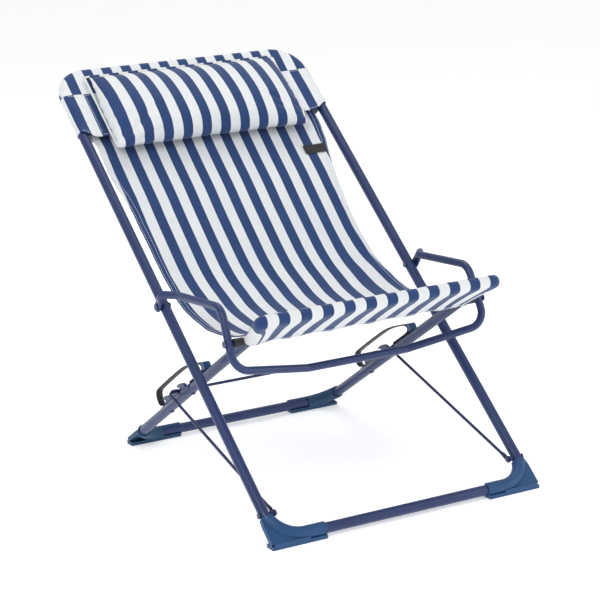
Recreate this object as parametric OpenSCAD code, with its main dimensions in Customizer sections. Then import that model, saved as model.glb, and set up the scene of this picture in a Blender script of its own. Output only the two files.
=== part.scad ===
// Folding beach chair: two tube frames, an armrest loop, a wire stay and a striped sling.
// Millimetres. Z is up, the sitter looks along -Y, and left and right are the sitter's.
// "s" is a distance along a frame from its foot bar, "v" a height above the frame's own plane.

/* [Back frame] */
// Angle of the back frame above the floor, in degrees
back_angle = 39.7; // [39:0.1:41]
// Half the distance between the axes of its two side tubes
back_half = 275.8; // [275:0.1:277]
// Distance from the foot bar's axis to the top bar's axis
back_length = 1130; // [1110:1:1150]

/* [Seat frame] */
// Angle of the seat frame above the floor, in degrees
seat_angle = 32.3; // [32:0.1:33]
// Half the distance between the axes of its two side tubes
seat_half = 231; // [230:0.1:232]
// Distance from the rear foot bar's axis to the front bar's axis
seat_length = 713; // [705:1:720]
// Distance on the floor between the two foot bars
foot_spread = 672; // [668:1:676]

/* [Tubes] */
// Diameter of the two frames' tube
frame_d = 20; // [19:0.5:21]
// Diameter of the armrest loop's tube
arm_d = 15; // [14:0.5:16]
// Wall of all three tubes
tube_wall = 1.2; // [1:0.1:1.5]
// Diameter of the wire stay
wire_d = 6; // [5:0.5:6]
// Radius of the frames' corners, on the tube's axis
corner_r = 60; // [55:1:65]
// Radius of the seat frame's two front corners
front_corner_r = 34; // [32:1:40]

/* [Pivots] */
// Place of the armrest pivot along the back frame
arm_pivot_s = 535; // [530:1:540]
// Place of the armrest pivot along the seat frame
seat_pivot_s = 607; // [604:1:610]
// Place of the stay's pivot along the back frame
stay_pivot_s = 53; // [50:1:56]
// Place of the stay's crossbar along the seat frame, in the front claw
stay_hook_s = 266; // [265:0.5:267]
// Diameter of the rivets' shanks
rivet_d = 6; // [5:0.5:6]

/* [Fabric] */
// Thickness of the sling
cloth_t = 2; // [1.5:0.1:3]
// Half the width of the sling where it narrows to the seat
sling_half = 226; // [215:1:227]
// Half the width of the sling where it leaves the top pocket
sling_top_half = 256; // [250:1:258]
// Length of the top pocket, down from the top bar
top_pocket_len = 177; // [150:1:180]
// Half the length of the head cushion
cushion_half = 222; // [200:1:230]
// How far the front pocket's corners stand out past its side sleeves
front_flare = 15; // [10:1:16]
// Thickness of the head cushion
cushion_t = 50; // [40:1:56]

/* [Hidden] */
$fn = 64;

navy = [0.06, 0.08, 0.25];
shoe_blue = [0.10, 0.24, 0.45];
rubber_black = [0.04, 0.04, 0.06];
cloth_white = [0.90, 0.90, 0.88];
cloth_navy = [0.07, 0.12, 0.33];

frame_r = frame_d / 2;
arm_r = arm_d / 2;
wire_r = wire_d / 2;
rivet_r = rivet_d / 2;
shoe_wall = 3;
sole_t = 5;
axle_z = frame_r + sole_t;
gap = 0.3;
fit = 0.05;
run_fit = 0.08;

// Places on the two frames' planes, at the middle of the chair
function back_pt(s, v) = [0, s * cos(back_angle) - v * sin(back_angle),
                          axle_z + s * sin(back_angle) + v * cos(back_angle)];
function seat_pt(s, v) = [0, foot_spread - s * cos(seat_angle) + v * sin(seat_angle),
                          axle_z + s * sin(seat_angle) + v * cos(seat_angle)];
arm_pivot = back_pt(arm_pivot_s, 0);
seat_pivot = seat_pt(seat_pivot_s, 0);
stay_pivot = back_pt(stay_pivot_s, 0);
wire_v = frame_r + 1.6 + wire_r;
stay_hook = seat_pt(stay_hook_s, wire_v);

// The chair's box runs from the front shoes to the back of the top pocket
pocket_half_t = frame_r + 2.2;
pocket_end_s = back_length + 13;
shoe_front = frame_r + 4;
mid_y = (back_pt(pocket_end_s, -pocket_half_t).y - shoe_front) / 2;

// Lanes across the chair, from the middle out
stay_x = 256;
plate_x = back_half + frame_r + 1.6;
plate_t = 5;
arm_x = 270;

// ---- Bent tube along a list of points, with a bend radius at each corner ----
function unit(a) = a / norm(a);
function turn(a, b) = acos(max(-1, min(1, unit(a) * unit(b))));
function cut_back(a, b, r) = r * tan(turn(a, b) / 2);

module ring(r, wall) {
    difference() {
        circle(r);
        if (wall > 0) circle(r - wall);
    }
}

module straight(a, b, r, wall) {
    run = b - a;
    if (norm(run) > 0.01)
        translate(a)
            rotate([0, acos(run.z / norm(run)), atan2(run.y, run.x)])
                linear_extrude(norm(run)) ring(r, wall);
}

module bend(before, corner, after, bend_r, r, wall) {
    along = unit(corner - before);
    axis = unit(cross(along, after - corner));
    inward = cross(axis, along);
    angle = turn(corner - before, after - corner);
    start = corner - along * cut_back(corner - before, after - corner, bend_r);
    centre = start + inward * bend_r;
    multmatrix([[-inward.x, along.x, axis.x, centre.x],
                [-inward.y, along.y, axis.y, centre.y],
                [-inward.z, along.z, axis.z, centre.z],
                [0, 0, 0, 1]])
        rotate_extrude(angle = angle) translate([bend_r, 0]) ring(r, wall);
}

// radii holds one bend radius for each point, and an open tube's two ends have none
function back_offs(pts, radii, closed) = let (n = len(pts)) [for (i = [0 : n - 1])
    !closed && (i == 0 || i == n - 1) ? 0
    : cut_back(pts[i] - pts[(i + n - 1) % n], pts[(i + 1) % n] - pts[i], radii[i])];

module bent_tube(pts, radii, r, wall = 0, closed = false) {
    n = len(pts);
    last = closed ? n - 1 : n - 2;
    off = back_offs(pts, radii, closed);
    for (i = [0 : last]) {
        along = unit(pts[(i + 1) % n] - pts[i]);
        straight(pts[i] + along * off[i], pts[(i + 1) % n] - along * off[(i + 1) % n], r, wall);
    }
    for (i = [closed ? 0 : 1 : last])
        bend(pts[(i + n - 1) % n], pts[i], pts[(i + 1) % n], radii[i], r, wall);
}

// Balls that fill the seams between the straight and the bent stretches of an open rod
seam_skin = 0.2;
module seam_balls(pts, radii, r) {
    off = back_offs(pts, radii, false);
    for (i = [1 : len(pts) - 2]) {
        translate(pts[i] - unit(pts[i] - pts[i - 1]) * off[i]) sphere(r + seam_skin);
        translate(pts[i] + unit(pts[i + 1] - pts[i]) * off[i]) sphere(r + seam_skin);
    }
}

// Bores of an open tube's straight stretches
module straight_bores(pts, radii, r) {
    off = back_offs(pts, radii, false);
    for (i = [0 : len(pts) - 2]) {
        along = unit(pts[i + 1] - pts[i]);
        room = norm(pts[i + 1] - pts[i]) - off[i] - off[i + 1];
        if (room > 5 * r)
            straight(pts[i] + along * (off[i] + 2 * r), pts[i + 1] - along * (off[i + 1] + 2 * r), r, 0);
    }
}

function loop_pts(half, len) = [[half, 0, 0], [half, len, 0], [-half, len, 0], [-half, 0, 0]];

module loop_tube(half, len, far_r, r, wall = 0)
    bent_tube(loop_pts(half, len), [corner_r, far_r, far_r, corner_r], r, wall, closed = true);

// ---- Placing helpers ----
module in_back() translate([0, 0, axle_z]) rotate([back_angle, 0, 0]) children();
module in_seat() translate([0, foot_spread, axle_z]) rotate([seat_angle, 0, 180]) children();
module both_sides() {
    children();
    mirror([1, 0, 0]) children();
}
module across(at, x0, x1, r) translate([x0, at.y, at.z]) rotate([0, 90, 0]) cylinder(h = x1 - x0, r = r);

// ---- Back frame and what is fixed to it ----
module back_frame() color(navy) difference() {
    in_back() loop_tube(back_half, back_length, corner_r, frame_r, tube_wall);
    both_sides() {
        across(arm_pivot, back_half - frame_r - 1, back_half + frame_r + 1, rivet_r + fit);
        across(stay_pivot, back_half - frame_r - 1, back_half + frame_r + 1, rivet_r + fit);
    }
}

// Corner shoe for a frame that rises towards +Y: an open sleeve, a corner web and a sole
module corner_shoe(half, angle) color(shoe_blue) {
    reach = half - 100;
    tip = half + frame_r + 3.5;
    out_r = frame_r + shoe_wall;
    sole_top = sole_t + 2;
    sleeve_s = 45;
    difference() {
        union() {
            translate([0, 0, axle_z]) rotate([angle, 0, 0]) {
                bent_tube([[reach, 0, 0], [half, 0, 0], [half, corner_r + 16, 0]], [0, corner_r, 0], out_r);
                linear_extrude(9, center = true)
                    polygon([[half - corner_r + 4, 2 - out_r], [tip, 2 - out_r], [tip, corner_r / 2],
                             [half + frame_r, corner_r - 3], [half, corner_r - 3]]);
            }
            translate([reach + 1, -shoe_front, 0]) cube([tip - reach - 1, shoe_front + frame_r - 1, sole_top]);
            translate([half - corner_r - 4, -shoe_front, 1]) cube([tip - half + corner_r, shoe_front - 1, 11]);
        }
        // The tube's own space, the sleeve's end on the side tube, and its open side
        translate([0, 0, axle_z]) rotate([angle, 0, 0]) {
            bent_tube([[reach - 5, 0, 0], [half, 0, 0], [half, corner_r + 20, 0]],
                      [0, corner_r, 0], frame_r + fit);
            translate([half - 30, sleeve_s, -30]) cube([60, 60, 60]);
        }
        translate([reach - 2, 4, sole_top + 1]) cube([45, 20, 30]);
    }
}

module front_shoe_left() corner_shoe(back_half, back_angle);
module front_shoe_right() mirror([1, 0, 0]) front_shoe_left();

// Rivet through the back tube and the armrest's flat end, with a domed head each side
module rivet(at, x0, x1, head_r) color(navy) {
    across(at, x0, x1, rivet_r);
    across(at, x1, x1 + 2.4, head_r);
    across(at, x0 - 1.6, x0, head_r - 1);
}
module armrest_rivets() both_sides()
    rivet(arm_pivot, back_half - frame_r - fit, plate_x + plate_t + run_fit, 6.5);

module armrest_washers() both_sides() color(rubber_black) difference() {
    across(arm_pivot, back_half + frame_r + fit, plate_x - run_fit, 7);
    across(arm_pivot, back_half, plate_x + 1, rivet_r + fit);
}

module stay_rivets() both_sides()
    rivet(stay_pivot, stay_x - 2.5 - run_fit, back_half + frame_r + fit, 5.5);

module stay_spacers() both_sides() color(navy) difference() {
    across(stay_pivot, stay_x + 2.5 + run_fit, back_half - frame_r - 1.9, 4.7);
    across(stay_pivot, stay_x, back_half, rivet_r + fit);
}

// ---- Fabric on the back frame ----
// Cloth sleeve over the top bar, closed at its top and sides and open downwards
module top_pocket() color(cloth_white) in_back() {
    out_x = back_half + frame_r + 2;
    start_s = back_length + 13 - top_pocket_len;
    difference() {
        translate([0, 0, -pocket_half_t]) linear_extrude(2 * pocket_half_t)
            pocket_outline(out_x, start_s, pocket_end_s, corner_r + 4);
        translate([0, 0, -frame_r - gap]) linear_extrude(2 * (frame_r + gap))
            pocket_outline(out_x - 1.6, start_s - 1, pocket_end_s - 2.4, corner_r + 2.4);
    }
}
// Rectangle with its two far corners rounded
module pocket_outline(half, s0, s1, r) {
    translate([-half, s0]) square([2 * half, s1 - s0 - r]);
    translate([-half + r, s0]) square([2 * (half - r), s1 - s0]);
    for (side = [-1, 1]) translate([side * (half - r), s1 - r]) circle(r);
}

// Smooth curve through a list of points, with a given number of steps in each stretch
function blend_pt(a, b, c, d, t) =
    0.5 * (2 * b + (c - a) * t + (2 * a - 5 * b + 4 * c - d) * t * t + (3 * b - a - 3 * c + d) * t * t * t);
function smooth(p, steps) = let (n = len(p)) concat(
    [for (i = [0 : n - 2], k = [0 : steps - 1])
        blend_pt(p[max(i - 1, 0)], p[i], p[i + 1], p[min(i + 2, n - 1)], k / steps)], [p[n - 1]]);
function side_of(p, i) = let (a = p[max(i - 1, 0)], b = p[min(i + 1, len(p) - 1)], d = unit(b - a)) [-d.y, d.x];
// Outline of a strip of even thickness along a curve
function strip(p, t) = concat([for (i = [0 : len(p) - 1]) p[i] + side_of(p, i) * t / 2],
                              [for (i = [len(p) - 1 : -1 : 0]) p[i] - side_of(p, i) * t / 2]);
function yz(p) = [p.y, p.z];

// Side view of the sling, from inside the top pocket to the seat frame's front bar
sling_line = [yz(back_pt(1064, -3)), yz(back_pt(960, -6)), [672, 556], [633, 521], [566, 455],
              [508, 400], [444, 355], [352, 325], [265, 325], [180, 355], yz(seat_pt(689, 14.6))];

module sling() color(cloth_navy) intersection() {
    rotate([90, 0, 90]) linear_extrude(2 * sling_top_half, center = true)
        polygon(strip(smooth(sling_line, 6), cloth_t));
    rotate([90, 0, 0]) linear_extrude(2000, center = true)
        polygon([[-sling_half, 300], [sling_half, 300], [sling_half, 440], [sling_top_half - 16, 560],
                 [sling_top_half, 640], [sling_top_half, 800], [-sling_top_half, 800],
                 [-sling_top_half, 640], [-sling_top_half + 16, 560], [-sling_half, 440]]);
}

// Padded roll that hangs in front of the top pocket
cushion_s = [914, 1114];
module head_cushion() color(cloth_white) in_back() {
    base_v = pocket_half_t + gap;
    half_s = (cushion_s[1] - cushion_s[0]) / 2;
    translate([0, cushion_s[0] + half_s, base_v])
        rotate([90, 0, 90]) linear_extrude(2 * cushion_half, center = true)
            polygon([for (i = [0 : 24]) let (a = i * 7.5)
                [half_s * cos(a), cushion_t * pow(sin(a), 0.7)]]);
}

// Blank cloth tab sewn to the sling's edge
module label_tab() color(rubber_black)
    translate([190, 672, 556]) rotate([43.2, 0, 0]) translate([0, -11, cloth_t / 2 + 0.15]) cube([52, 22, 1]);

// ---- Seat frame and what is fixed to it ----
module seat_frame() color(navy) difference() {
    in_seat() loop_tube(seat_half, seat_length, front_corner_r, frame_r, tube_wall);
    both_sides() across(seat_pivot, seat_half - frame_r - 1, seat_half + frame_r - 2, rivet_r + fit);
    in_seat() rack_rivet_places() cylinder(h = 3 * frame_r, r = rack_rivet_r + fit, center = true);
}

module rear_shoe_right() translate([0, foot_spread, 0]) rotate([0, 0, 180]) corner_shoe(seat_half, seat_angle);
module rear_shoe_left() mirror([1, 0, 0]) rear_shoe_right();

// Tails of the seat pivots' rivets, which show on the inner faces of the seat tubes
module seat_rivet_tails() both_sides() color(navy) {
    across(seat_pivot, seat_half - frame_r - 2, seat_half - frame_r - fit, 5.5);
    across(seat_pivot, seat_half - frame_r - fit, seat_half + frame_r - 3, rivet_r);
}

// Rack: a saddle on the tube with three claws that open to the rear
claw_pitch = 39;
rack_s = [178, 332];
rack_t = 7;
saddle_r = frame_r + 1.6;
rack_rivet_r = 2.4;
rack_rivet_s = [206, 322];
module rack_rivet_places() for (side = [-1, 1], s = rack_rivet_s) translate([side * seat_half, s, 0]) children();

// The front claw's tip is just past the wire, and its mouth holds the wire
claw = [[34, 9], [34, 13.4], [31, 18], [26, 21.8], [18, 24.4], [8, 25.2], [1, 24.2], [-2, 22],
        [1.5, 20.4], [6.5, 19.8], [8.6, 17.5], [7.6, 13.8], [4.6, 11.2], [4.6, 9]];
module rack() color(navy) difference() {
    union() {
        translate([0, rack_s[0], 0]) rotate([-90, 0, 0]) linear_extrude(rack_s[1] - rack_s[0])
            difference() {
                circle(saddle_r);
                circle(frame_r + fit);
                translate([-20, 1]) square([40, 20]);
            }
        rotate([90, 0, 90]) linear_extrude(rack_t, center = true) intersection() {
            for (i = [0 : 2]) translate([stay_hook_s - 0.6 - i * claw_pitch, 0]) polygon(claw);
            translate([0, frame_r + fit]) square([400, 60]);
        }
    }
    for (s = rack_rivet_s) translate([0, s, 0]) cylinder(h = frame_r + 1.1, r = rack_rivet_r + fit);
}
module rack_left() in_seat() translate([-seat_half, 0, 0]) rack();
module rack_right() in_seat() translate([seat_half, 0, 0]) rack();

module rack_rivets() color(navy) in_seat() rack_rivet_places() {
    translate([0, 0, -frame_r - 1.6]) cylinder(h = 1.6 - fit, r = 4.5);
    translate([0, 0, -frame_r - fit]) cylinder(h = 2 * frame_r + fit + 1, r = rack_rivet_r);
}

// Guard: a strip that keeps the wire within reach of the claws, and runs back along the tube
guard_line = [[176, 13.6], [169.5, 19], [168, 27], [169, 36], [176, 43.5], [190, 45.6], [250, 46.4],
              [310, 45.6], [345, 41], [376, 33.5], [394, 28], [402, 20.5], [399, 13.6], [388, 11.9],
              [376, 11.6], [364, 11.6], [348, 11.6], [332.4, 11.6]];
guard_t = 3;
guard_w = 14;
clip_s = [404, 416];
module guard() color(rubber_black) rotate([90, 0, 90]) linear_extrude(guard_w, center = true)
    polygon(strip(smooth(guard_line, 4), guard_t));
module guard_left() in_seat() translate([-seat_half, 0, 0]) guard();
module guard_right() in_seat() translate([seat_half, 0, 0]) guard();

module guard_clips() color(shoe_blue) in_seat() for (side = [-1, 1])
    translate([side * seat_half, 0, 0]) rotate([90, 0, 90]) linear_extrude(guard_w + 1, center = true)
        polygon([[clip_s[0], frame_r + fit], [clip_s[0], 27], [410, 26.5], [414.5, 24],
                 [clip_s[1], 20], [clip_s[1], frame_r + fit]]);

// Cloth sleeve over the front bar, with a flap below and a sleeve along each side tube
module front_pocket() color(cloth_navy) in_seat() {
    out_x = seat_half + frame_r + 2;
    end_s = seat_length + frame_r + 2.2;
    skin = frame_r + gap;
    difference() {
        translate([0, 0, -frame_r - 2]) linear_extrude(2 * frame_r + 4)
            flared_outline(out_x, 624, end_s, front_corner_r + 4);
        translate([0, 0, -skin]) linear_extrude(2 * skin)
            flared_outline(out_x - 1.6, 600, end_s - 1.9, front_corner_r + 2.4);
        translate([-205, 600, 0]) cube([410, 90, 30]);
    }
}
// The same kind of outline, wider by the flare at its far end
flare_s = 640;
module flared_outline(half, s0, s1, r) {
    wide = half + front_flare + 1;
    polygon([[-half, s0], [half, s0], [half, flare_s - 10], [wide, s1 - r],
             [-wide, s1 - r], [-half, flare_s - 10]]);
    translate([-wide + r, s1 - r - 1]) square([2 * (wide - r), r + 1]);
    for (side = [-1, 1]) translate([side * (wide - r), s1 - r]) circle(r);
}

// ---- Armrest loop ----
arm_half = [[plate_x + plate_t / 2, 403, 369], [plate_x + plate_t / 2, 391, 385.5],
            [arm_x, 366, 386.2], [arm_x - 1.5, 190, 400], [273.6, 137.7, 293.4], [108.6, 162, 264.8]];
arm_bends = [0, 14, 14, 32, 26, 45];
function reversed(p) = [for (i = [len(p) - 1 : -1 : 0]) p[i]];
arm_pts = concat(arm_half, [for (p = reversed(arm_half)) [-p.x, p.y, p.z]]);

module armrest_loop() color(navy) difference() {
    bends = concat(arm_bends, reversed(arm_bends));
    union() {
        bent_tube(arm_pts, bends, arm_r);
        seam_balls(arm_pts, bends, arm_r);
        both_sides() flat_end();
    }
    straight_bores(arm_pts, bends, arm_r - tube_wall);
    both_sides() {
        across(arm_pivot, plate_x - 1, plate_x + plate_t + 1, rivet_r + run_fit);
        across(seat_pivot, arm_x - arm_r - 3, arm_x + arm_r + 4, rivet_r + fit);
    }
}
// The tube's end, pressed flat round the pivot
module flat_end() {
    end = arm_half[0];
    rise = end - [end.x, arm_pivot.y, arm_pivot.z];
    translate([plate_x, arm_pivot.y, arm_pivot.z]) rotate([atan2(rise.z, rise.y), 0, 0]) {
        rotate([0, 90, 0]) cylinder(h = plate_t, r = 10);
        translate([0, 0, -arm_r - 1]) cube([plate_t, norm(rise), 2 * arm_r + 2]);
    }
    translate(end) sphere(arm_r + 2 * seam_skin);
}

// The seat pivots: a rivet and a spacer stand on the armrest loop, clear of the seat tube
open_gap = 0.4;
module seat_rivets() both_sides() color(navy) {
    across(seat_pivot, seat_half + frame_r + open_gap, arm_x + arm_r + 2.4, rivet_r);
    across(seat_pivot, arm_x + arm_r + 2.4, arm_x + arm_r + 4.8, 6.5);
}
module seat_spacers() both_sides() color(rubber_black) difference() {
    across(seat_pivot, seat_half + frame_r + open_gap, arm_x - arm_r + 0.4, 8);
    across(seat_pivot, seat_half, arm_x, rivet_r + fit);
}

// ---- Wire stay ----
// One bent wire. The stretches that cross the seat tubes are left open for the fold.
wire_corner = 14;
module stay_rod_left() color(navy) {
    eye_r = rivet_r + 3.6;
    rise = stay_hook - stay_pivot;
    slope = atan2(rise.z, rise.y);
    rod = [[stay_x, stay_pivot.y + 5 * cos(slope), stay_pivot.z + 5 * sin(slope)],
           [stay_x, stay_hook.y, stay_hook.z],
           [seat_half + frame_r + 2, stay_hook.y, stay_hook.z]];
    bends = [0, wire_corner - 4, 0];
    difference() {
        union() {
            bent_tube(rod, bends, wire_r);
            seam_balls(rod, bends, wire_r);
            across(stay_pivot, stay_x - 2.5, stay_x + 2.5, eye_r);
        }
        across(stay_pivot, stay_x - 6, stay_x + 6, rivet_r + run_fit);
    }
}
module stay_rod_right() mirror([1, 0, 0]) stay_rod_left();
module stay_crossbar() color(navy)
    across(stay_hook, -seat_half + frame_r + 2, seat_half - frame_r - 2, wire_r);

// The whole chair, moved so that the middle of its box is over the origin
module at_origin() translate([0, -mid_y, 0]) children();

at_origin() back_frame();
at_origin() front_shoe_left();
at_origin() front_shoe_right();
at_origin() armrest_rivets();
at_origin() armrest_washers();
at_origin() stay_rivets();
at_origin() stay_spacers();
at_origin() top_pocket();
at_origin() sling();
at_origin() head_cushion();
at_origin() label_tab();
at_origin() seat_frame();
at_origin() rear_shoe_left();
at_origin() rear_shoe_right();
at_origin() rack_left();
at_origin() rack_right();
at_origin() rack_rivets();
at_origin() guard_left();
at_origin() guard_right();
at_origin() guard_clips();
at_origin() seat_rivet_tails();
at_origin() front_pocket();
at_origin() armrest_loop();
at_origin() seat_rivets();
at_origin() seat_spacers();
at_origin() stay_rod_left();
at_origin() stay_rod_right();
at_origin() stay_crossbar();
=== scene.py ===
import bpy, bmesh, math
import numpy as np
from mathutils import Matrix, Vector


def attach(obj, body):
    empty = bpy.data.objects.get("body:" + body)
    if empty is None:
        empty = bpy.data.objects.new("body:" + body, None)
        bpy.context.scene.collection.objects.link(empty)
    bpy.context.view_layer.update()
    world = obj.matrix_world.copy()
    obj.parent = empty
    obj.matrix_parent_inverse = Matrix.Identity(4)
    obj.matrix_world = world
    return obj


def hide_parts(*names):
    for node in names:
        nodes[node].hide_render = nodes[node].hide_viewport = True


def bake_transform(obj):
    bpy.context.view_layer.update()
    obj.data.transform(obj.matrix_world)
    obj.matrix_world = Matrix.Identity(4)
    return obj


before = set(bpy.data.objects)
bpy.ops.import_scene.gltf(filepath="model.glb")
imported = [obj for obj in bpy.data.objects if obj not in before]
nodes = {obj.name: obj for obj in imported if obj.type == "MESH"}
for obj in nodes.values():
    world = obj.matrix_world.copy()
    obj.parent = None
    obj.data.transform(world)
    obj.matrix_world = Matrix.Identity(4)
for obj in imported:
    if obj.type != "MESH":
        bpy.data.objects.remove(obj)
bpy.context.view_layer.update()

# ---------------------------------------------------------------- driving dimensions, in mm
BACK_A, SEAT_A = math.radians(39.7), math.radians(32.3)
FOOT_Z, FOOT_SPREAD = 15.0, 672.0
SEAT_HALF = 231.0
PERIOD = 43.6          # one white and one navy stripe
ROLL = 11.9            # from a frame tube's axis to the cloth round it
CLOTH_T = 0.0011       # cloth thickness of the pockets, in metres


def back_yz(s, v):
    return (s * math.cos(BACK_A) - v * math.sin(BACK_A), FOOT_Z + s * math.sin(BACK_A) + v * math.cos(BACK_A))


def seat_yz(s, v):
    return (FOOT_SPREAD - s * math.cos(SEAT_A) + v * math.sin(SEAT_A),
            FOOT_Z + s * math.sin(SEAT_A) + v * math.cos(SEAT_A))


MID_Y = (back_yz(1143, -12.2)[0] - 14) / 2


def place(x, yz):
    return (x / 1000, (yz[0] - MID_Y) / 1000, yz[1] / 1000)


def in_back(x, s, v):
    return place(x, back_yz(s, v))


def in_seat(x, s, v):
    return place(x, seat_yz(s, v))


# ---------------------------------------------------------------- materials
def new_mat(name):
    m = bpy.data.materials.new(name)
    m.use_nodes = True
    nt = m.node_tree
    return m, nt, nt.nodes["Principled BSDF"]


def add(nt, kind, **kw):
    n = nt.nodes.new(kind)
    for k, v in kw.items():
        setattr(n, k, v)
    return n


def math_node(nt, op, a, b=None, c=None):
    n = add(nt, "ShaderNodeMath", operation=op)
    for i, v in enumerate((a, b, c)):
        if v is None:
            continue
        if isinstance(v, (int, float)):
            n.inputs[i].default_value = v
        else:
            nt.links.new(v, n.inputs[i])
    return n.outputs[0]


def mix_col(nt, fac, a, b, mode="MIX"):
    n = add(nt, "ShaderNodeMix", data_type="RGBA", blend_type=mode)
    for sock, v in ((n.inputs["Factor"], fac), (n.inputs["A"], a), (n.inputs["B"], b)):
        if isinstance(v, (int, float)):
            sock.default_value = v
        elif isinstance(v, tuple):
            sock.default_value = (*v, 1)
        else:
            nt.links.new(v, sock)
    return n.outputs["Result"]


def ramp(nt, fac, stops):
    n = add(nt, "ShaderNodeValToRGB")
    r = n.color_ramp
    while len(r.elements) < len(stops):
        r.elements.new(0.5)
    for e, (pos, v) in zip(r.elements, stops):
        e.position = pos
        e.color = (v, v, v, 1)
    nt.links.new(fac, n.inputs[0])
    return n.outputs[0]


def noise(nt, vec, scale, detail=3, rough=0.5):
    n = add(nt, "ShaderNodeTexNoise")
    n.inputs["Scale"].default_value = scale
    n.inputs["Detail"].default_value = detail
    n.inputs["Roughness"].default_value = rough
    nt.links.new(vec, n.inputs["Vector"])
    return n.outputs["Fac"]


def bump(nt, bsdf, height, strength, distance):
    n = add(nt, "ShaderNodeBump")
    n.inputs["Strength"].default_value = strength
    n.inputs["Distance"].default_value = distance
    nt.links.new(height, n.inputs["Height"])
    nt.links.new(n.outputs[0], bsdf.inputs["Normal"])


WHITE = (0.80, 0.815, 0.83)
NAVY = (0.012, 0.042, 0.155)


def cloth_parts(nt):
    """Object place, x, and the run along the cloth, with the weave's height made of warp and weft."""
    tc = add(nt, "ShaderNodeTexCoord")
    sep = add(nt, "ShaderNodeSeparateXYZ")
    nt.links.new(tc.outputs["Object"], sep.inputs[0])
    at = add(nt, "ShaderNodeAttribute", attribute_name="run")
    x, run = sep.outputs[0], at.outputs["Fac"]
    k = 2 * math.pi / 0.0016
    warp = math_node(nt, "SINE", math_node(nt, "MULTIPLY", x, k))
    weft = math_node(nt, "SINE", math_node(nt, "MULTIPLY", run, k))
    over = math_node(nt, "MULTIPLY", warp, weft)
    weave = math_node(nt, "MULTIPLY_ADD", over, 0.5, 0.5)
    return tc.outputs["Object"], x, run, weave


def striped(name, phase, seam=None, seam_phase=0.0, period=PERIOD, across=None):
    """Woven canvas with stripes that run along the cloth. Past the seam the stripes are shifted."""
    m, nt, b = new_mat(name)
    obj, x, run, weave = cloth_parts(nt)
    wob = math_node(nt, "MULTIPLY", math_node(nt, "SUBTRACT", noise(nt, obj, 9, 2), 0.5), 0.0016)
    if across:
        x = add(nt, "ShaderNodeAttribute", attribute_name=across).outputs["Fac"]
    xx = math_node(nt, "ADD", x, wob)
    shift = phase / 1000
    if seam is not None:
        past = math_node(nt, "GREATER_THAN", run, seam / 1000)
        shift = math_node(nt, "MULTIPLY_ADD", past, (seam_phase - phase) / 1000, phase / 1000)
    u = math_node(nt, "DIVIDE", math_node(nt, "SUBTRACT", xx, shift), period / 1000)
    tri = math_node(nt, "PINGPONG", u, 0.5)       # 0 in the middle of a white stripe, 0.5 in a navy one
    n = add(nt, "ShaderNodeMapRange", interpolation_type="SMOOTHSTEP")
    n.inputs["From Min"].default_value = 0.243
    n.inputs["From Max"].default_value = 0.257
    nt.links.new(tri, n.inputs["Value"])
    fac = n.outputs[0]
    cloud = noise(nt, obj, 14, 4, 0.6)
    slub = add(nt, "ShaderNodeTexNoise")
    slub.inputs["Scale"].default_value = 1.0
    comb = add(nt, "ShaderNodeCombineXYZ")
    nt.links.new(math_node(nt, "MULTIPLY", x, 900), comb.inputs[0])
    nt.links.new(math_node(nt, "MULTIPLY", run, 60), comb.inputs[1])
    nt.links.new(comb.outputs[0], slub.inputs["Vector"])
    white = mix_col(nt, ramp(nt, cloud, [(0.3, 0.0), (0.7, 1.0)]), WHITE, (0.74, 0.765, 0.80))
    navy = mix_col(nt, ramp(nt, cloud, [(0.3, 0.0), (0.7, 1.0)]), NAVY, (0.018, 0.052, 0.180))
    col = mix_col(nt, fac, white, navy)
    thread = math_node(nt, "MULTIPLY_ADD", slub.outputs["Fac"], 0.22, 0.87)
    grain = math_node(nt, "MULTIPLY", thread, math_node(nt, "MULTIPLY_ADD", weave, 0.10, 0.93))
    dark = add(nt, "ShaderNodeCombineColor")
    for i in range(3):
        nt.links.new(grain, dark.inputs[i])
    col = mix_col(nt, 1.0, col, dark.outputs[0], "MULTIPLY")
    nt.links.new(col, b.inputs["Base Color"])
    nt.links.new(math_node(nt, "MULTIPLY_ADD", cloud, 0.12, 0.74), b.inputs["Roughness"])
    b.inputs["Sheen Weight"].default_value = 0.18
    b.inputs["Sheen Roughness"].default_value = 0.5
    b.inputs["Specular IOR Level"].default_value = 0.3
    h = math_node(nt, "MULTIPLY_ADD", noise(nt, obj, 60, 3), 1.2, weave)
    bump(nt, b, h, 0.35, 0.0004)
    return m


def plain_cloth(name, col_a, col_b, rough=0.8):
    m, nt, b = new_mat(name)
    obj, x, run, weave = cloth_parts(nt)
    cloud = noise(nt, obj, 120, 4)
    col = mix_col(nt, math_node(nt, "MULTIPLY", cloud, weave), col_a, col_b)
    nt.links.new(col, b.inputs["Base Color"])
    nt.links.new(math_node(nt, "MULTIPLY_ADD", cloud, 0.15, rough - 0.07), b.inputs["Roughness"])
    b.inputs["Sheen Weight"].default_value = 0.15
    bump(nt, b, weave, 0.4, 0.0004)
    return m


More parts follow.
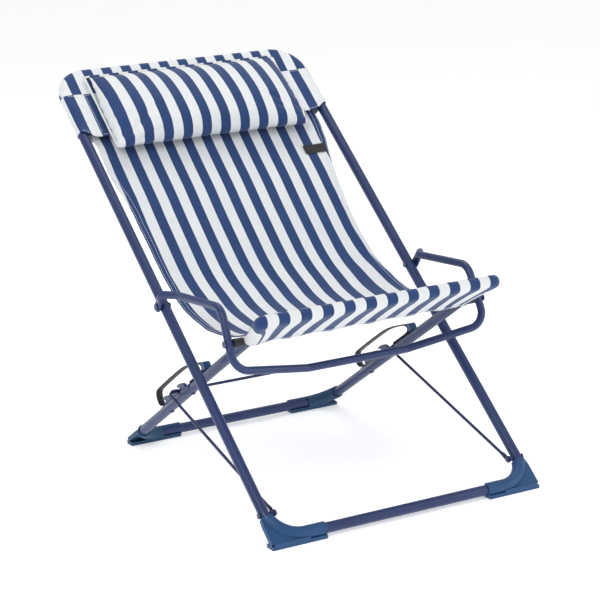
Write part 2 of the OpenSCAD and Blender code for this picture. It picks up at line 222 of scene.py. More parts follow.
def paint(name, col, light, rough, coat=0.25, peel=0.18):
    """Powder coat: a fine orange peel, small changes of tone, and a little wear as fine specks."""
    m, nt, b = new_mat(name)
    tc = add(nt, "ShaderNodeTexCoord")
    obj = tc.outputs["Object"]
    tone = noise(nt, obj, 6, 3)
    fine = noise(nt, obj, 900, 2)
    speck = ramp(nt, noise(nt, obj, 420, 3, 0.7), [(0.66, 0.0), (0.74, 1.0)])
    col = mix_col(nt, ramp(nt, tone, [(0.3, 0.0), (0.7, 1.0)]), col, light)
    col = mix_col(nt, math_node(nt, "MULTIPLY", speck, 0.25), col, (0.10, 0.11, 0.20))
    nt.links.new(col, b.inputs["Base Color"])
    r = math_node(nt, "MULTIPLY_ADD", tone, 0.10, rough - 0.05)
    nt.links.new(math_node(nt, "MULTIPLY_ADD", fine, 0.05, r), b.inputs["Roughness"])
    b.inputs["Coat Weight"].default_value = coat
    b.inputs["Coat Roughness"].default_value = 0.22
    b.inputs["Specular IOR Level"].default_value = 0.38
    bump(nt, b, fine, peel, 0.0002)
    return m


def plastic(name, col, light, rough, grain=500, strength=0.25):
    m, nt, b = new_mat(name)
    tc = add(nt, "ShaderNodeTexCoord")
    obj = tc.outputs["Object"]
    tone = noise(nt, obj, 18, 4)
    vor = add(nt, "ShaderNodeTexVoronoi")
    vor.inputs["Scale"].default_value = grain
    nt.links.new(obj, vor.inputs["Vector"])
    col = mix_col(nt, tone, col, light)
    nt.links.new(col, b.inputs["Base Color"])
    nt.links.new(math_node(nt, "MULTIPLY_ADD", tone, 0.18, rough - 0.09), b.inputs["Roughness"])
    b.inputs["Specular IOR Level"].default_value = 0.4
    bump(nt, b, vor.outputs["Distance"], strength, 0.0003)
    return m


def thread_mat():
    m, nt, b = new_mat("white_thread")
    tc = add(nt, "ShaderNodeTexCoord")
    tw = noise(nt, tc.outputs["Object"], 1500, 2)
    col = mix_col(nt, tw, (0.62, 0.66, 0.74), (0.92, 0.93, 0.95))
    nt.links.new(col, b.inputs["Base Color"])
    nt.links.new(math_node(nt, "MULTIPLY_ADD", tw, 0.2, 0.5), b.inputs["Roughness"])
    bump(nt, b, tw, 0.5, 0.0002)
    return m


M_PAINT = paint("navy_powder_coat", (0.016, 0.032, 0.112), (0.022, 0.042, 0.140), 0.33, 0.12)
M_RIVET = paint("rivet_paint", (0.014, 0.026, 0.090), (0.022, 0.036, 0.12), 0.30, 0.2)
M_WIRE = paint("wire_coat", (0.013, 0.020, 0.075), (0.022, 0.030, 0.10), 0.36, 0.1)
M_BLUE = plastic("blue_moulded", (0.010, 0.058, 0.160), (0.018, 0.080, 0.210), 0.42)
M_TEAL = plastic("blue_moulded_dark", (0.008, 0.046, 0.115), (0.014, 0.066, 0.155), 0.46)
M_BLACK = plastic("black_moulded", (0.012, 0.012, 0.018), (0.030, 0.030, 0.040), 0.5, 380, 0.35)
M_SLING = striped("striped_canvas", 9.5, across="across")
M_TOP = striped("striped_canvas_top", 10.2, seam=1072, seam_phase=-13.6)
M_CUSH = striped("striped_canvas_roll", -4.5)
M_FRONT = striped("striped_canvas_front", -6.6, period=45.24, across="across")
M_LABEL = plain_cloth("black_tape", (0.010, 0.010, 0.012), (0.035, 0.035, 0.040))
M_THREAD = thread_mat()


# ---------------------------------------------------------------- mesh helpers
def make(name, verts, faces, mat, run=None, smooth=True):
    me = bpy.data.meshes.new(name)
    me.from_pydata([tuple(v) for v in verts], [], faces)
    me.update()
    if run is not None:
        a = me.attributes.new("run", "FLOAT", "POINT")
        a.data.foreach_set("value", np.array(run, np.float32))
    ob = bpy.data.objects.new(name, me)
    bpy.context.scene.collection.objects.link(ob)
    me.materials.append(mat)
    bm = bmesh.new()
    bm.from_mesh(me)
    bmesh.ops.recalc_face_normals(bm, faces=bm.faces)
    bm.to_mesh(me)
    bm.free()
    for p in me.polygons:
        p.use_smooth = smooth
    return ob


def apply_mods(ob):
    dg = bpy.context.evaluated_depsgraph_get()
    me = bpy.data.meshes.new_from_object(ob.evaluated_get(dg), preserve_all_data_layers=True, depsgraph=dg)
    ob.modifiers.clear()
    ob.data = me
    return ob


def catmull(p, steps):
    p = np.array(p, float)
    out = []
    for i in range(len(p) - 1):
        a, b, c, d = p[max(i - 1, 0)], p[i], p[i + 1], p[min(i + 2, len(p) - 1)]
        for k in range(steps):
            t = k / steps
            out.append(0.5 * (2 * b + (c - a) * t + (2 * a - 5 * b + 4 * c - d) * t ** 2
                              + (3 * b - a - 3 * c + d) * t ** 3))
    out.append(p[-1])
    return np.array(out)


def resample(p, n):
    d = np.r_[0, np.cumsum(np.linalg.norm(np.diff(p, axis=0), axis=1))]
    t = np.linspace(0, d[-1], n)
    return np.stack([np.interp(t, d, p[:, k]) for k in range(p.shape[1])], 1), t


def rounded(pts, radii, step=7.0):
    """Polyline through pts with each corner turned into an arc of its own radius."""
    pts = [np.array(p, float) for p in pts]
    out = [pts[0]]
    for i in range(1, len(pts) - 1):
        a, b, c = pts[i - 1], pts[i], pts[i + 1]
        u, w = (a - b) / np.linalg.norm(a - b), (c - b) / np.linalg.norm(c - b)
        ang = math.acos(np.clip(-u @ w, -1, 1))
        if ang < 1e-4:
            out.append(b)
            continue
        r = radii[i]
        cut = r * math.tan(ang / 2)
        mid = (u + w) / np.linalg.norm(u + w)
        ctr = b + mid * (r / math.cos(ang / 2))
        n = max(4, int(math.degrees(ang) / step))
        p0, p1 = b + u * cut - ctr, b + w * cut - ctr
        for k in range(n + 1):
            t = k / n
            q = (math.sin((1 - t) * ang) * p0 + math.sin(t * ang) * p1) / math.sin(ang)
            out.append(ctr + q)
    out.append(pts[-1])
    return np.array(out)


def densify(p, gap):
    out = [p[0]]
    for a, b in zip(p[:-1], p[1:]):
        n = max(1, int(np.linalg.norm(b - a) / gap))
        out += [a + (b - a) * k / n for k in range(1, n + 1)]
    return np.array(out)


def sweep(name, path, mat, section, up0, sides=20):
    """Tube along a path. section(i, angle) gives the two offsets along the carried frame."""
    path = np.array(path, float)
    tang = np.gradient(path, axis=0)
    tang /= np.linalg.norm(tang, axis=1)[:, None]
    up = np.array(up0, float)
    verts, faces = [], []
    for i in range(len(path)):
        up = up - tang[i] * (up @ tang[i])
        up /= np.linalg.norm(up)
        side = np.cross(tang[i], up)
        for k in range(sides):
            a, b = section(i, 2 * math.pi * k / sides)
            verts.append((path[i] + up * a + side * b) / 1000 - np.array([0, MID_Y / 1000, 0]))
    n = len(path)
    for i in range(n - 1):
        for k in range(sides):
            k2 = (k + 1) % sides
            faces.append((i * sides + k, i * sides + k2, (i + 1) * sides + k2, (i + 1) * sides + k))
    faces.append(tuple(range(sides)))
    faces.append(tuple(range((n - 1) * sides, n * sides)))
    return make(name, verts, faces, mat)


def stitches(name, lines, pitch=4.8, length=3.5, r=0.55, lift=0.45):
    """Short white threads laid along lines. Each line is a list of (point, normal) in metres."""
    verts, faces = [], []
    for line in lines:
        p = np.array([a for a, _ in line], float)
        nrm = np.array([b for _, b in line], float)
        d = np.r_[0, np.cumsum(np.linalg.norm(np.diff(p, axis=0), axis=1))]
        total = d[-1]
        count = int(total * 1000 / pitch)
        for q in range(count):
            c0 = (q + 0.5) * total / count
            half = length / 2000
            ts = c0 + np.array([-1.0, -0.6, 0.0, 0.6, 1.0]) * half
            pos = np.stack([np.interp(ts, d, p[:, k]) for k in range(3)], 1)
            nn = np.array([np.interp(c0, d, nrm[:, k]) for k in range(3)])
            nn /= np.linalg.norm(nn)
            t = pos[-1] - pos[0]
            t /= np.linalg.norm(t)
            s = np.cross(t, nn)
            for j, (rad, up) in enumerate(((0.3, -0.5), (0.9, 0.6), (1.0, 1.0), (0.9, 0.6), (0.3, -0.5))):
                ctr = pos[j] + nn * (up * lift / 1000)
                for k in range(6):
                    a = math.pi / 3 * k
                    verts.append(ctr + (s * math.cos(a) + nn * math.sin(a)) * (rad * r / 1000))
            b = len(verts) - 30
            for j in range(4):
                for k in range(6):
                    k2 = (k + 1) % 6
                    faces.append((b + j * 6 + k, b + j * 6 + k2, b + (j + 1) * 6 + k2, b + (j + 1) * 6 + k))
            faces.append(tuple(range(b, b + 6)))
            faces.append(tuple(range(b + 24, b + 30)))
    return make(name, verts, faces, M_THREAD)


def grid_faces(nu, nv):
    return [(i * nv + j, i * nv + j + 1, (i + 1) * nv + j + 1, (i + 1) * nv + j)
            for i in range(nu - 1) for j in range(nv - 1)]


def normals_of(P):
    du = np.gradient(P, axis=0)
    dv = np.gradient(P, axis=1)
    n = np.cross(du, dv)
    return n / np.maximum(np.linalg.norm(n, axis=2), 1e-12)[:, :, None]


def slab(name, P, thick, run, mat):
    """Cloth of its own thickness from a grid of points P in metres. thick is an array in metres."""
    nu, nv = P.shape[:2]
    N = normals_of(P)
    top, bot = P + N * thick[:, :, None] / 2, P - N * thick[:, :, None] / 2
    verts = np.concatenate([top.reshape(-1, 3), bot.reshape(-1, 3)])
    g = grid_faces(nu, nv)
    m = nu * nv
    faces = list(g) + [tuple(m + k for k in f[::-1]) for f in g]
    rim = [i * nv for i in range(nu)] + [(nu - 1) * nv + j for j in range(1, nv)] \
        + [i * nv + nv - 1 for i in range(nu - 2, -1, -1)] + [j for j in range(nv - 2, 0, -1)]
    for a, b in zip(rim, rim[1:] + rim[:1]):
        faces.append((a, b, m + b, m + a))
    return make(name, verts, faces, mat, np.concatenate([run.ravel(), run.ravel()]))


def smoothstep(t):
    t = np.clip(t, 0, 1)
    return t * t * (3 - 2 * t)


# ---------------------------------------------------------------- camera and light
right = Vector((0.8677, -0.4960, -0.0316)).normalized()
forward = Vector((0.4731, 0.8437, -0.2537)).normalized()
up = right.cross(forward).normalized()
right = forward.cross(up).normalized()
cam = bpy.data.objects.new("camera", bpy.data.cameras.new("camera"))
bpy.context.scene.collection.objects.link(cam)
cam.matrix_world = Matrix((
    (right.x, up.x, -forward.x, -1.9644),
    (right.y, up.y, -forward.y, -3.5641),
    (right.z, up.z, -forward.z, 1.3859),
    (0, 0, 0, 1)))
cam.data.lens = 127.7
cam.data.sensor_width = 36
bpy.context.scene.camera = cam
bpy.context.scene.view_settings.view_transform = "Standard"


def area_light(name, at, aim, size, power, col=(1, 1, 1)):
    light = bpy.data.lights.new(name, "AREA")
    light.size, light.energy, light.color = size, power, col
    o = bpy.data.objects.new(name, light)
    bpy.context.scene.collection.objects.link(o)
    o.location = at
    o.rotation_mode = "QUATERNION"
    o.rotation_quaternion = (Vector(aim) - Vector(at)).to_track_quat("-Z", "Y")


area_light("key", (-2.3, -1.9, 2.9), (0, 0, 0.4), 1.6, 44)
area_light("fill", (2.4, -2.2, 1.6), (0, 0, 0.4), 1.8, 21)
area_light("top", (0.3, 0.9, 3.2), (0, 0, 0.3), 2.2, 28)
world = bpy.data.worlds.new("studio")
bpy.context.scene.world = world
world.use_nodes = True
sky = world.node_tree.nodes["Background"]
sky.inputs["Color"].default_value = (1, 1, 1, 1)
sky.inputs["Strength"].default_value = 0.58

m_floor, nt, b = new_mat("pale_floor")
tc = add(nt, "ShaderNodeTexCoord")
nt.links.new(mix_col(nt, noise(nt, tc.outputs["Object"], 3, 3), (0.90, 0.90, 0.90), (0.93, 0.93, 0.93)),
             b.inputs["Base Color"])
b.inputs["Roughness"].default_value = 0.9
b.inputs["Specular IOR Level"].default_value = 0.1
b.inputs["Emission Color"].default_value = (1, 1, 1, 1)
b.inputs["Emission Strength"].default_value = 0.42
FLOOR_R = 40
ring = [(FLOOR_R * math.cos(a * math.pi / 32), FLOOR_R * math.sin(a * math.pi / 32), 0) for a in range(64)]
floor = make("floor", ring, [tuple(range(64))], m_floor)


# ---------------------------------------------------------------- pockets: two layers of cloth round a bar
def outline_gap(x, s, half, s_end, r):
    dx, ds = half - abs(x), s_end - s
    if dx < r and ds < r:
        return r - math.hypot(r - dx, r - ds)
    return min(dx, ds)


def far_end(x, half, s_end, r):
    over = abs(x) - (half - r)
    return s_end if over <= 0 else s_end - r + math.sqrt(max(r * r - over * over, 0))


def edge_spaced(n, inner, outer, dense):
    """Positions from -outer to outer, with the outer bands sampled more closely."""
    band = [outer - (outer - inner) * (1 - math.cos(math.pi / 2 * k / dense)) for k in range(dense + 1)]
    band = band[::-1]
    mid = [-inner + 2 * inner * k / n for k in range(1, n)]
    return [-v for v in band[::-1]] + mid + band


def pillowcase(name, to_world, half, s_end, corner, roll, s_start, mat,
               keep=None, shape=None, rows=46, start=None, across=None):
    """Sleeve over a bent bar: top and bottom layers that meet round the outline.
    Both layers start at s_start, or at start(x). keep(x, s) says which faces of the top layer exist,
    shape(x, s, d, sign) lifts the cloth, and across(x, s, d, sign) places its stripes."""
    xs = edge_spaced(66, half - 2.2 * roll, half, 12)
    verts, run, wide, ids = [], [], [], {}

    def layer(sign):
        out = []
        for i, x in enumerate(xs):
            end = far_end(x, half, s_end, corner)
            col = []
            lo = min(start(x) if start else s_start, end - 1)
            for j in range(rows + 1):
                t = j / rows
                lin = lo + (end - roll * 2.5 - lo) * min(t / 0.66, 1)
                if t <= 0.66:
                    s = lin
                else:
                    q = (t - 0.66) / 0.34
                    s = end - roll * 2.5 * (1 - math.sin(q * math.pi / 2))
                if end - lo < roll * 3.2:
                    s = lo + (end - lo) * t
                d = max(outline_gap(x, s, half, s_end, corner), 0)
                h = math.sqrt(max(roll ** 2 - (roll - d) ** 2, 0)) if d < roll else roll
                rim = j == rows or i in (0, len(xs) - 1)
                if rim:
                    h = 0.0
                    if (i, j) in ids:
                        col.append(ids[i, j])
                        continue
                v = sign * h
                if shape and not rim:
                    v += shape(x, s, d, sign)
                verts.append(to_world(x, s, v))
                run.append(s / 1000)
                wide.append(across(x, s, d, sign) / 1000 if across else x / 1000)
                if rim:
                    ids[i, j] = len(verts) - 1
                col.append(len(verts) - 1)
            out.append(col)
        return out

    faces = []
    for sign in (1, -1):
        L = layer(sign)
        for i in range(len(xs) - 1):
            for j in range(rows):
                f = [L[i][j], L[i][j + 1], L[i + 1][j + 1], L[i + 1][j]]
                if sign > 0 and keep:
                    xm = (xs[i] + xs[i + 1]) / 2
                    sm = sum(run[k] for k in f) / 4 * 1000
                    if not keep(xm, sm):
                        continue
                f = tuple(dict.fromkeys(f if sign > 0 else f[::-1]))
                if len(f) >= 3:
                    faces.append(f)
    ob = make(name, verts, faces, mat, run)
    at = ob.data.attributes.new("across", "FLOAT", "POINT")
    at.data.foreach_set("value", np.array(wide, np.float32))
    bm = bmesh.new()
    bm.from_mesh(ob.data)
    bmesh.ops.remove_doubles(bm, verts=bm.verts, dist=0.00005)
    bmesh.ops.delete(bm, geom=[v for v in bm.verts if not v.link_faces], context="VERTS")
    bmesh.ops.recalc_face_normals(bm, faces=bm.faces)
    # an open sleeve's faces must look outwards
    c = sum((v.co for v in bm.verts), Vector()) / len(bm.verts)
    if sum(f.normal.dot(f.calc_center_median() - c) * f.calc_area() for f in bm.faces) < 0:
        bmesh.ops.reverse_faces(bm, faces=bm.faces)
    bm.to_mesh(ob.data)
    bm.free()
    so = ob.modifiers.new("cloth", "SOLIDIFY")
    so.thickness, so.offset = CLOTH_T, -1
    return apply_mods(ob)


# Top pocket
TOP_S0, TOP_S1, TOP_HALF, TOP_R, SEAM_S = 958.0, 1142.4, 287.2, 70.0, 1072.0


def mouth_s(x):
    """The mouth's hem rides up towards the side tubes."""
    return TOP_S0 + 17.0 * float(smoothstep((abs(x) - 250) / 36))


def top_shape(x, s, d, sign):
    sag = 3.4 * float(smoothstep((d - 14) / 70)) * (1 - 0.35 * float(smoothstep((s - 1085) / 30)))
    out = -sign * sag
    out += sign * 0.8 * math.exp(-((s - SEAM_S) / 2.2) ** 2)                     # seam ridge
    out += sign * 0.7 * float(smoothstep((mouth_s(x) + 13 - s) / 2.0))          # turned hem
    side = abs(x) / TOP_HALF
    out += sign * 0.7 * math.sin(s / 15.0 + 2.0 * sign + (1.3 if x > 0 else 0)) \
        * float(smoothstep((side - 0.80) / 0.1)) * float(smoothstep(d / 18))
    mouth = math.exp(-((s - mouth_s(x)) / 16) ** 2)
    out += sign * mouth * 1.3 * math.sin(abs(x) / 11.0 + 0.6 + sign)
    out += sign * 0.5 * math.sin(x / 23.0) * math.exp(-((s - SEAM_S) / 12) ** 2)
    return out


top = pillowcase("top_pocket_cloth", in_back, TOP_HALF, TOP_S1, TOP_R, ROLL, TOP_S0, M_TOP,
                 shape=top_shape, rows=64, start=mouth_s)
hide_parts("top_pocket")
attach(top, "back_frame")


def pocket_point(x, s, sign):
    d = max(outline_gap(x, s, TOP_HALF, TOP_S1, TOP_R), 0)
    h = math.sqrt(max(ROLL ** 2 - (ROLL - d) ** 2, 0)) if d < ROLL else ROLL
    return sign * h + top_shape(x, s, d, sign)


def plane_normal(angle, sign):
    return (0, -math.sin(angle) * sign, math.cos(angle) * sign)


def pocket_line(fx, fs, n, sign):
    out = []
    for k in range(n + 1):
        x, s = fx(k / n), fs(k / n)
        out.append((in_back(x, s, pocket_point(x, s, sign)), plane_normal(BACK_A, sign)))
    return out


tl = []
for sign in (1, -1):
    tl.append(pocket_line(lambda t: -276 + 552 * t, lambda t: SEAM_S - 3.2, 80, sign))
    tl.append(pocket_line(lambda t: -278 + 556 * t, lambda t: mouth_s(-278 + 556 * t) + 4.5, 80, sign))
for side in (-1, 1):
    tl.append(pocket_line(lambda t: side * 237.5, lambda t: SEAM_S - 4 - 99 * t, 24, 1))
top_st = stitches("top_pocket_stitches", tl)
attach(top_st, "back_frame")

# ---------------------------------------------------------------- sling
LINE = [back_yz(1064, -3), back_yz(1010, -5), back_yz(960, -7), (704, 585.5), (672, 556), (633, 521),
        (598, 486), (566, 455), (508, 401), (470, 371), (444, 356), (400, 336), (352, 325.5), (308, 321),
        (265, 322), (222, 331),
        seat_yz(598, 15.0), seat_yz(650, 13.8), seat_yz(680, 13.4), seat_yz(698, 13.2), seat_yz(709, 13.0)]
prof, arc = resample(catmull(LINE, 10), 230)
SLING_LEN = arc[-1]
WID = np.array([(0, 256), (105, 257), (150, 255), (205, 252), (250, 247), (300, 243), (390, 240),
                (470, 238), (600, 236), (700, 229), (765, 220), (SLING_LEN, 218)], float)
half_w = np.interp(arc, WID[:, 0], WID[:, 1])
half_w = np.convolve(np.pad(half_w, 12, mode="edge"), np.ones(25) / 25, "valid")
# The left side hangs narrower over the back, and its outer stripe leans out to the edge over the seat
trim = np.interp(arc, (170, 243, 283, 335, 417, 465, 503, 547, 590, 640),
                 (0, 12, 14, 16, 16, 12, 7, 4.5, 2, 0))
lean = np.interp(arc, (400, 465, 503, 550), (0, 4, 9, 12))
drift = 4.5 * smoothstep((arc - 430) / 110)
us = np.array(edge_spaced(70, 0.90, 1.0, 9))
tan = np.gradient(prof, axis=0)
tan /= np.linalg.norm(tan, axis=1)[:, None]
nor = np.stack([-tan[:, 1], tan[:, 0]], 1)
nor *= np.sign(nor[:, 1:2].mean())
P = np.zeros((len(arc), len(us), 3))
T = np.zeros(P.shape[:2])
R = np.zeros(P.shape[:2])
ACROSS = np.zeros(P.shape[:2])
free = smoothstep((arc - 110) / 60) * smoothstep((SLING_LEN - 70 - arc) / 90)
for j, u in enumerate(us):
    side = 1 if u > 0 else -1
    edge = np.abs(u)
    near = math.exp(-((1 - edge) * 230 / 20.0) ** 2)
    wave = np.sin(arc / 9.6 + side * 1.1) * 0.55 + np.sin(arc / 23.0 + side * 2.0 + 0.5) * 0.9
    x = u * half_w + 4 * smoothstep((arc - 200) / 100) * smoothstep((SLING_LEN - 60 - arc) / 150)
    x -= trim * smoothstep((u - 0.80) / 0.2)
    ACROSS[:, j] = (x - drift - lean * smoothstep((x - 150) / 60)) / 1000
    x += side * near * free * wave * 0.35
    lift = near * free * (0.8 * np.sin(arc / 17.0 + side) + 0.3 * np.sin(arc / 7.1 + 2 * side))
    lift -= 4.5 * (1 - edge ** 2) * smoothstep((arc - 420) / 220) * smoothstep((SLING_LEN - 40 - arc) / 150)
    lift += 5.5 * near * np.exp(-((arc - 128) / 20.0) ** 2) * (0.4 if side > 0 else 1.0)
    P[:, j, 0] = x / 1000
    P[:, j, 1] = (prof[:, 0] + nor[:, 0] * lift - MID_Y) / 1000
    P[:, j, 2] = (prof[:, 1] + nor[:, 1] * lift) / 1000
    dist = (1 - edge) * half_w
    T[:, j] = (1.1 + 1.0 * smoothstep((13 - dist) / 2.0)) / 1000
    R[:, j] = (1064 - arc) / 1000
sling = slab("sling_cloth", P, T, R, M_SLING)
sling.data.attributes.new("across", "FLOAT", "POINT").data.foreach_set("value", np.tile(ACROSS.ravel(), 2))
sub = sling.modifiers.new("soft", "SUBSURF")
sub.levels = sub.render_levels = 1
apply_mods(sling)
N = normals_of(P)
if N[100, 40, 2] < 0:
    N = -N


def sling_line_at(dist_in, i0, i1, step=1, under=False):
    out = {-1: [], 1: []}
    for side in (-1, 1):
        for i in range(i0, i1, step):
            u = side * (1 - dist_in / half_w[i])
            row = np.stack([np.interp(u, us, P[i, :, k]) for k in range(3)])
            n = np.array([np.interp(u, us, N[i, :, k]) for k in range(3)])
            s = -1 if under else 1
            out[side].append((row + n * s * 0.0010, n * s))
    return [out[-1], out[1]]


sl = sling_line_at(2.4, 22, 222) + sling_line_at(10.6, 22, 222) + sling_line_at(10.6, 30, 215, under=True)
sling_st = stitches("sling_stitches", sl)
for o in (sling, sling_st):
    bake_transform(o)
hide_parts("sling")

# ---------------------------------------------------------------- front pocket
FP_HALF, FP_END, FP_S0, FP_R, FLARE = 243.4, 724.6, 613.0, 25.0, 21.0


def in_front(x, s, v):
    """A place on the seat frame, moved outwards by the flare near the front bar."""
    out = FLARE * min(max((s - 632) / 80, 0), 1) * float(smoothstep((abs(x) - 150) / 90))
    return in_seat(x + math.copysign(out, x), s, v)


def front_shape(x, s, d, sign):
    out = 0.0
    if sign < 0:
        out += 1.6 * float(smoothstep((d - 16) / 40))
        out += -0.6 * float(smoothstep((FP_S0 + 13 - s) / 2.0))
        out += -1.2 * math.sin(x / 13.0) * math.exp(-((s - FP_S0) / 14) ** 2) * float(smoothstep(d / 16))
    else:
        out += 0.5 * math.sin(s / 9.0 + (1 if x > 0 else 0)) * math.exp(-((abs(x) - 226) / 9) ** 2) \
            * float(smoothstep((690 - s) / 20))
        out += 0.6 * float(smoothstep((FP_S0 + 9 - s) / 2.0))
    out += sign * 0.5 * math.sin(x / 7.4 + 1.1) * math.exp(-((s - 712) / 9) ** 2) * float(smoothstep(d / 8))
    return out


def front_across(x, s, d, sign):
    """Distance across the cloth, which counts the way round the side sleeves."""
    q = max(1 - max(d, 0) / ROLL, 0) if abs(x) > 231.5 else 0.0
    side = float(1 - smoothstep((s - 655) / 45))
    round_ = math.asin(min(q, 1))
    extra = (ROLL * round_ if sign > 0 else ROLL * (math.pi - round_)) - ROLL * q
    if sign < 0:
        extra *= float(smoothstep((abs(x) - 216) / 15))
    far = abs(x) + (FLARE + side) * float(smoothstep((abs(x) - 150) / 90)) + side * extra
    return math.copysign(min(far, 280) if side > 0.3 else far, x)


front = pillowcase("front_pocket_cloth", in_front, FP_HALF, FP_END, FP_R, ROLL, FP_S0, M_FRONT,
                   keep=lambda x, s: abs(x) > 217 or s > 699, shape=front_shape, rows=52, across=front_across)
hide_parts("front_pocket")
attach(front, "seat_frame")


def front_line(fx, fs, n, sign):
    out = []
    for k in range(n + 1):
        x, s = fx(k / n), fs(k / n)
        d = max(outline_gap(x, s, FP_HALF, FP_END, FP_R), 0)
        h = math.sqrt(max(ROLL ** 2 - (ROLL - d) ** 2, 0)) if d < ROLL else ROLL
        v = sign * h + front_shape(x, s, d, sign)
        out.append((in_front(x, s, v), plane_normal(SEAT_A, sign)))
    return out


fl = [front_line(lambda t: -232 + 464 * t, lambda t: FP_S0 + 4.0, 90, -1),
      front_line(lambda t: -232 + 464 * t, lambda t: FP_S0 + 10.0, 90, -1)]
for side in (-1, 1):
    fl.append(front_line(lambda t: side * 219.5, lambda t: FP_S0 + 3 + 84 * t, 30, 1))
    fl.append(front_line(lambda t: side * (219 + 16 * t), lambda t: FP_S0 + 4, 10, 1))
front_st = stitches("front_pocket_stitches", fl)
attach(front_st, "seat_frame")

# ---------------------------------------------------------------- head cushion
C_S0, C_S1, C_HALF, C_BACK, C_MID = 915.0, 1113.0, 219.5, 13.6, -6.5
SECTION = catmull([(1113, 14.6), (1108, 21), (1097, 28), (1074, 37.5), (1040, 46), (1000, 50.5), (960, 50.5),
                   (934, 45.5), (919, 36), (915, 25), (922, 15.2), (950, C_BACK), (1032, C_BACK),
                   (1102, C_BACK), (1113, 14.6)], 6)[:-1]


def cushion_mesh():
    nu = 64
    verts, faces = [], []
    m = len(SECTION)
    for i in range(nu + 1):
        u = -1 + 2 * i / nu
        u = math.copysign(1 - (1 - abs(u)) ** 1.25, u)
        full = max(1 - abs(u) ** 12, 0) ** 0.5
        thick = 0.10 + 0.90 * full
        for s, v in SECTION:
            mid = (s - 1014) / 99
            x = u * (C_HALF - 2.5 * (1 - mid * mid))
            x += 9 * max(-u, 0) ** 3 * float(smoothstep((s - 1000) / 110))
            ss = s + (1.5 if s > 1014 else -1.5) * (abs(u) ** 14) * 2
            vv = C_BACK + (v - C_BACK) * thick + 3.0 * (1 - thick)
            verts.append(in_back(C_MID + x, ss, vv))
    for i in range(nu):
        for k in range(m):
            k2 = (k + 1) % m
            faces.append((i * m + k, i * m + k2, (i + 1) * m + k2, (i + 1) * m + k))
    faces.append(tuple(range(m)))
    faces.append(tuple(range(nu * m, (nu + 1) * m)))
    return make("head_cushion_cloth", verts, faces, M_CUSH)


def to_plane(co):
    """x from the cushion's middle, s and v, in mm, of points in the row frame."""
    x, y, z = co[:, 0] * 1000, co[:, 1] * 1000 + MID_Y, co[:, 2] * 1000 - FOOT_Z
    s = y * math.cos(BACK_A) + z * math.sin(BACK_A)
    v = -y * math.sin(BACK_A) + z * math.cos(BACK_A)
    return x - C_MID, s, v


def from_plane(x, s, v):
    y = s * math.cos(BACK_A) - v * math.sin(BACK_A)
    z = FOOT_Z + s * math.sin(BACK_A) + v * math.cos(BACK_A)
    return np.stack([(x + C_MID) / 1000, (y - MID_Y) / 1000, z / 1000], 1)


def coords(ob):
    co = np.zeros(len(ob.data.vertices) * 3, np.float32)
    ob.data.vertices.foreach_get("co", co)
    return co.reshape(-1, 3).astype(float)


def set_coords(ob, co):
    ob.data.vertices.foreach_set("co", co.astype(np.float32).ravel())
    ob.data.update()


SIM_FRAMES = 20
CAP = 0.010            # how far the simulation may move a point, in metres
cushion = cushion_mesh()
rm = cushion.modifiers.new("remesh", "REMESH")
rm.mode, rm.voxel_size, rm.use_smooth_shade = "VOXEL", 0.005, True
apply_mods(cushion)
sm = cushion.modifiers.new("smooth", "SMOOTH")
sm.factor, sm.iterations = 0.5, 2
apply_mods(cushion)
start_co = coords(cushion)
x, s, v = to_plane(start_co)
seam = np.maximum(np.exp(-((C_HALF - np.abs(x)) / 5.0) ** 2), np.exp(-((C_S1 - s) / 5.0) ** 2))
flat = (v < C_BACK + 1.2) & (np.abs(x) < 190) & (s > 955) & (s < 1092)
pin = np.where(flat, 1.0, np.where(seam > 0.45, 0.85, 0.0))
vg = cushion.vertex_groups.new(name="pin")
for level in (1.0, 0.85):
    vg.add([int(i) for i in np.where(pin == level)[0]], level, "REPLACE")
cl = cushion.modifiers.new("cloth", "CLOTH")
st = cl.settings
st.quality = 6
st.mass = 0.25
st.tension_stiffness = st.compression_stiffness = 12
st.shear_stiffness = 6
st.bending_stiffness = 0.4
st.use_pressure = True
st.uniform_pressure_force = 4.0
st.effector_weights.gravity = 0
st.vertex_group_mass = "pin"
cl.collision_settings.use_collision = False
cl.point_cache.frame_start, cl.point_cache.frame_end = 1, SIM_FRAMES
for f in range(1, SIM_FRAMES + 1):
    bpy.context.scene.frame_set(f)
apply_mods(cushion)
bpy.context.scene.frame_set(1)
now = coords(cushion)
if len(now) == len(start_co):
    d = now - start_co
    L = np.linalg.norm(d, axis=1)
    d *= (CAP * np.tanh(L / CAP) / np.maximum(L, 1e-9))[:, None]
    now = start_co + d
    set_coords(cushion, now)
x, s, v = to_plane(coords(cushion))
# gathered cloth beside the end seams and the top seam, and soft furrows across the front
front_side = smoothstep((v - 18) / 10)
for side in (-1, 1):
    near = np.exp(-((C_HALF - side * x) / 15.0) ** 2) * (side * x > 0)
    v = v - near * front_side * (1.1 + 1.3 * np.cos(s / 3.9 + side) + 0.7 * np.cos(s / 1.9 + 2 * side))
    x = x + side * near * 1.2 * np.cos(s / 4.3 + 0.7 * side)
near = np.exp(-((C_S1 - s) / 11.0) ** 2)
v = v - near * front_side * 0.7 * (1 + np.cos(x / 5.3))
near = np.exp(-((s - C_S0) / 12.0) ** 2)
s = s + near * 0.9 * np.cos(x / 7.0) + near * 0.9 * np.cos(x / 21.8 + 0.8)
v = v + front_side * (0.8 * np.sin(x / 38.0 + s / 60.0) + 0.5 * np.sin(x / 17.0 - s / 45.0))
v = np.clip(v, C_BACK - 0.6, 62.0)
set_coords(cushion, from_plane(x, s, v))
sub = cushion.modifiers.new("soft", "SUBSURF")
sub.levels = sub.render_levels = 1
apply_mods(cushion)
x, s, v = to_plane(coords(cushion))
attr = cushion.data.attributes.new("run", "FLOAT", "POINT")
attr.data.foreach_set("value", ((s + 0.6 * v) / 1000).astype(np.float32))
for p in cushion.data.polygons:
    p.use_smooth = True
